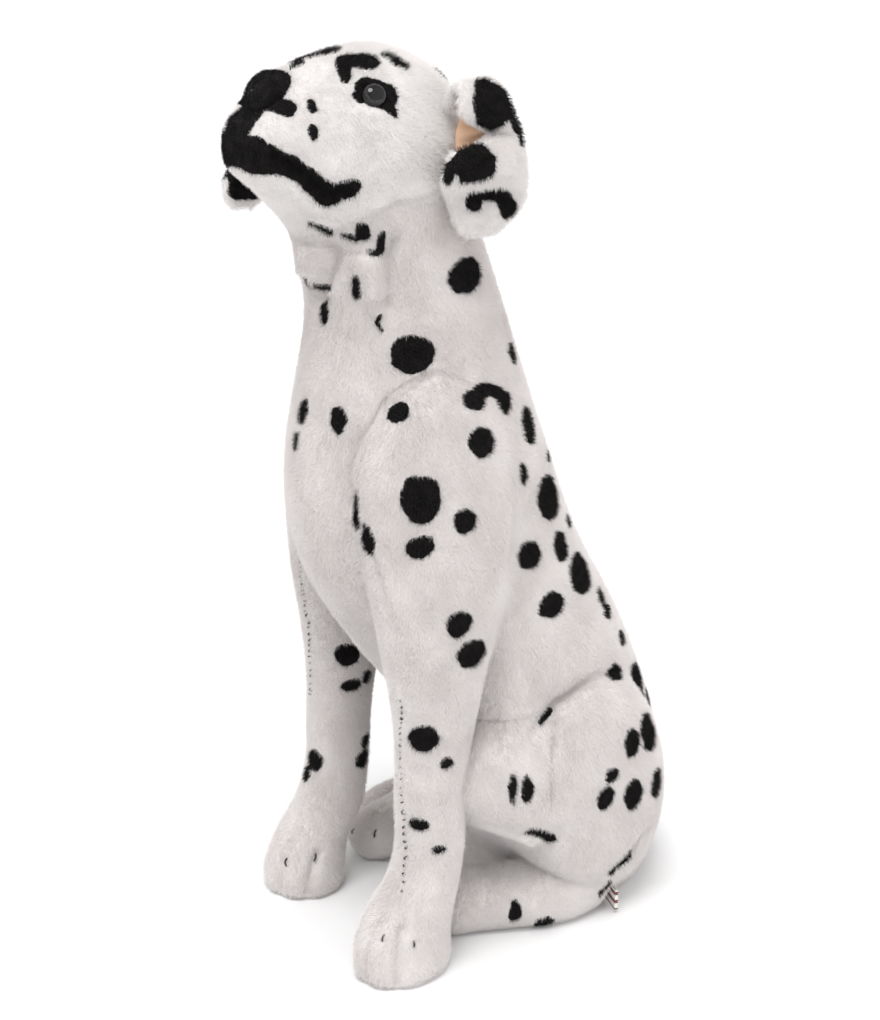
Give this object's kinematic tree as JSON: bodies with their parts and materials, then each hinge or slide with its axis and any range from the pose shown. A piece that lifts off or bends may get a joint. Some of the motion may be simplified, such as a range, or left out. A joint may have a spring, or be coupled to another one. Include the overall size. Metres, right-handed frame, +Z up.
{
  "type": "plush dog",
  "caption": "Large sitting plush dog with spotted short-pile covers, hanging satin-lined ears, a raised muzzle and a tail curled along its side.",
  "frame": {"origin": "middle of the flat seat, on the floor, in the dog's middle plane", "axes": "+Z up, the dog faces -Y, its left side is +X"},
  "size_m": [0.266, 0.3966, 0.6921],
  "materials": {
    "white_plush": "matte",
    "black_plush": "matte",
    "peach_satin": "satin",
    "fibre_filling": "matte",
    "eye_plastic": "gloss",
    "washer_plastic": "matte",
    "frame_steel": "satin",
    "black_thread": "matte",
    "label_tape": "satin"
  },
  "bodies": {
    "body": {"torso_cover": "white_plush", "head_cover": "white_plush", "torso_filling": "fibre_filling", "head_filling": "fibre_filling", "nose_cover": "black_plush", "nose_filling": "fibre_filling", "spine_wire": "frame_steel", "foreleg_cover_left": "white_plush", "foreleg_filling_left": "fibre_filling", "foreleg_wire_left": "frame_steel", "thigh_cover_left": "white_plush", "thigh_filling_left": "fibre_filling", "hind_foot_cover_left": "white_plush", "hind_foot_filling_left": "fibre_filling", "eye_left": "eye_plastic", "eye_washer_left": "washer_plastic", "foreleg_toe_stitch_inner_left": "black_thread", "hind_toe_stitch_inner_left": "black_thread", "foreleg_toe_stitch_outer_left": "black_thread", "hind_toe_stitch_outer_left": "black_thread", "foreleg_cover_right": "white_plush", "foreleg_filling_right": "fibre_filling", "foreleg_wire_right": "frame_steel", "thigh_cover_right": "white_plush", "thigh_filling_right": "fibre_filling", "hind_foot_cover_right": "white_plush", "hind_foot_filling_right": "fibre_filling", "eye_right": "eye_plastic", "eye_washer_right": "washer_plastic", "foreleg_toe_stitch_inner_right": "black_thread", "hind_toe_stitch_inner_right": "black_thread", "foreleg_toe_stitch_outer_right": "black_thread", "hind_toe_stitch_outer_right": "black_thread", "sewn_label": "label_tape"},
    "ear_left": {"ear_outer_left": "white_plush", "ear_lining_left": "peach_satin"},
    "ear_right": {"ear_outer_right": "white_plush", "ear_lining_right": "peach_satin"},
    "tail": {"tail_cover": "white_plush", "tail_filling": "fibre_filling"}
  },
  "joints": [
    {"name": "ear_left_flap", "type": "hinge", "parent": "body", "child": "ear_left", "pos_m": [0.056, -0.146, 0.652], "axis": [0, -1, 0], "range_deg": [0, 75]},
    {"name": "ear_right_flap", "type": "hinge", "parent": "body", "child": "ear_right", "pos_m": [-0.056, -0.146, 0.652], "axis": [0, 1, 0], "range_deg": [0, 75]},
    {"name": "tail_swing", "type": "hinge", "parent": "body", "child": "tail", "pos_m": [-0.056, 0.068, 0.034], "axis": [0, 0, -1], "range_deg": [0, 75]}
  ]
}
